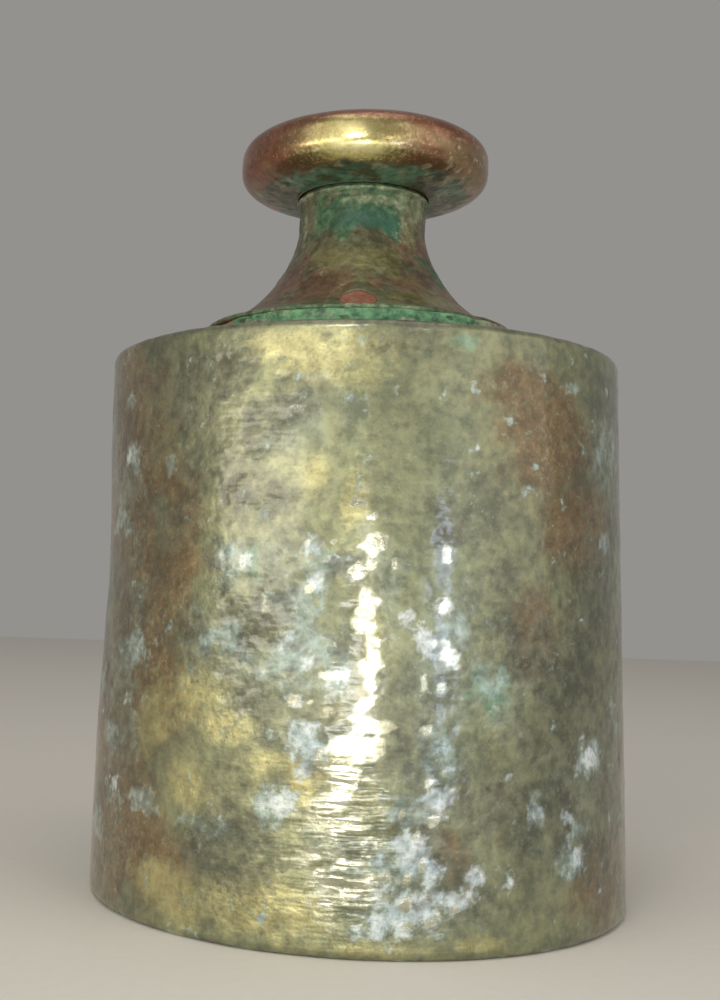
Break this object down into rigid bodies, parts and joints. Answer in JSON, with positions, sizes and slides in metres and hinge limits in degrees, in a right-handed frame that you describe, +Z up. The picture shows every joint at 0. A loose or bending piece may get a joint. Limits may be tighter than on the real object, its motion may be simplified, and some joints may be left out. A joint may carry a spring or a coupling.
{
  "type": "scale weight",
  "caption": "Turned brass cylinder weight with a waisted neck and a flat round head; the knob unscrews from a cavity that holds lead shot.",
  "frame": {"origin": "centre of the flat base", "axes": "+Z up along the turning axis, towards the knob; the copper plug in the foot faces -Y"},
  "size_m": [0.052, 0.052, 0.0775],
  "materials": {
    "body_brass": "tarnished, pitted and limed",
    "head_brass": "tarnished, worn bright on top",
    "neck_brass": "dark patina with verdigris",
    "washer_copper": "verdigris crust",
    "plug_copper": "dull red copper",
    "lead": "dull grey lead",
    "wad_leather": "oiled leather disc"
  },
  "bodies": {
    "weight_body": {"body": "body_brass", "lead_shot": "lead", "wad": "wad_leather"},
    "washer": {"seat_washer": "washer_copper"},
    "knob": {"neck": "neck_brass", "stamp_plug": "plug_copper", "head": "head_brass"}
  },
  "joints": [
    {"name": "knob_lift", "type": "slide", "parent": "weight_body", "child": "washer", "axis": [0, 0, 1], "range_m": [0, 0.009]},
    {"name": "knob_turn", "type": "hinge", "parent": "washer", "child": "knob", "pos_m": [0, 0, 0.052], "axis": [0, 0, 1], "range_deg": [0, 2160]}
  ],
  "couplings": [
    {"joint": "knob_turn", "follows": "knob_lift", "rad_per_m": 4188.8}
  ]
}
